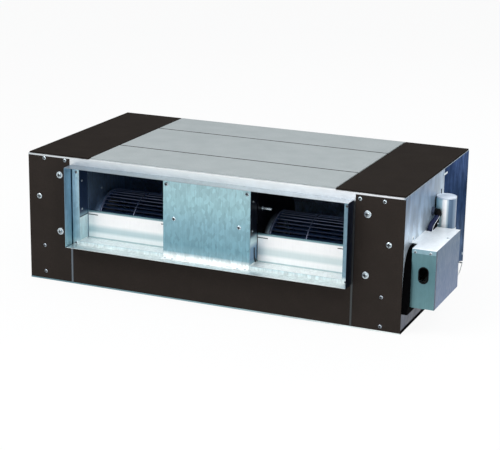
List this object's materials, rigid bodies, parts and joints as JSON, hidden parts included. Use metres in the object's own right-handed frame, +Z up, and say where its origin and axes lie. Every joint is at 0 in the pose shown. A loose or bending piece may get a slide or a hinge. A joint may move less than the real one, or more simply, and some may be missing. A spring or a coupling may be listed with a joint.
{
  "type": "fan coil unit",
  "caption": "Ducted fan coil unit in an insulated sheet-metal casing, with centrifugal blowers behind a discharge collar and an electrical box on one side.",
  "frame": {"origin": "middle of the underside of the base pan", "axes": "+X along the casing towards the electrical box, -Y towards the discharge side, +Z up"},
  "size_m": [1.441, 0.7669, 0.4354],
  "materials": {
    "galvanised": "spangled zinc",
    "bright_steel": "satin",
    "black_foam": "matt foam",
    "grey_foam": "matt foam",
    "wheel_steel": "dark zinc",
    "motor_paint": "satin paint",
    "fin_aluminium": "fine fins",
    "copper": "drawn copper tube",
    "black_rubber": "matt",
    "white_plastic": "matt",
    "can_aluminium": "satin"
  },
  "bodies": {
    "casing": {"base_pan": "galvanised", "box_body": "galvanised", "box_bracket": "galvanised", "box_lid": "galvanised", "cable_grommet": "black_rubber", "capacitor": "can_aluminium", "capacitor_clamp": "galvanised", "centre_cover": "galvanised", "coil_fin_block": "fin_aluminium", "discharge_collar": "galvanised", "drain_pan": "galvanised", "drain_spigot": "white_plastic", "fan_deck": "galvanised", "gas_header": "copper", "lead_grommet": "black_rubber", "left_coil_plate": "galvanised", "left_corner_foam": "black_foam", "left_corner_panel": "galvanised", "left_cutoff_plate": "bright_steel", "left_front_panel": "galvanised", "left_inner_scroll_side": "galvanised", "left_lower_screw": "bright_steel", "left_motor_strap": "galvanised", "left_outer_scroll_side": "galvanised", "left_outlet_neck": "galvanised", "left_rear_panel": "galvanised", "left_scroll_wrap": "galvanised", "left_seam_post": "bright_steel", "left_top_foam": "black_foam", "left_upper_screw": "bright_steel", "liquid_pipe": "copper", "lower_foam": "black_foam", "lower_panel": "galvanised", "motor_body": "motor_paint", "motor_cradle": "galvanised", "motor_lead": "black_rubber", "return_frame": "galvanised", "right_coil_plate": "galvanised", "right_corner_foam": "black_foam", "right_corner_panel": "galvanised", "right_cutoff_plate": "bright_steel", "right_front_panel": "galvanised", "right_inner_scroll_side": "galvanised", "right_lower_screw": "bright_steel", "right_motor_strap": "galvanised", "right_outer_scroll_side": "galvanised", "right_outlet_neck": "galvanised", "right_rear_panel": "galvanised", "right_scroll_wrap": "galvanised", "right_seam_post": "bright_steel", "right_top_foam": "black_foam", "right_upper_screw": "bright_steel", "terminal_block": "white_plastic", "top_cover": "galvanised", "top_pad_front": "grey_foam", "top_pad_middle": "grey_foam", "top_pad_rear": "grey_foam"},
    "rotor": {"left_fan_wheel": "wheel_steel", "motor_shaft": "bright_steel", "right_fan_wheel": "wheel_steel"}
  },
  "joints": [
    {"name": "rotor_spin", "type": "hinge", "parent": "casing", "child": "rotor", "pos_m": [0, -0.1639, 0.1688], "axis": [1, 0, 0], "continuous": true}
  ]
}
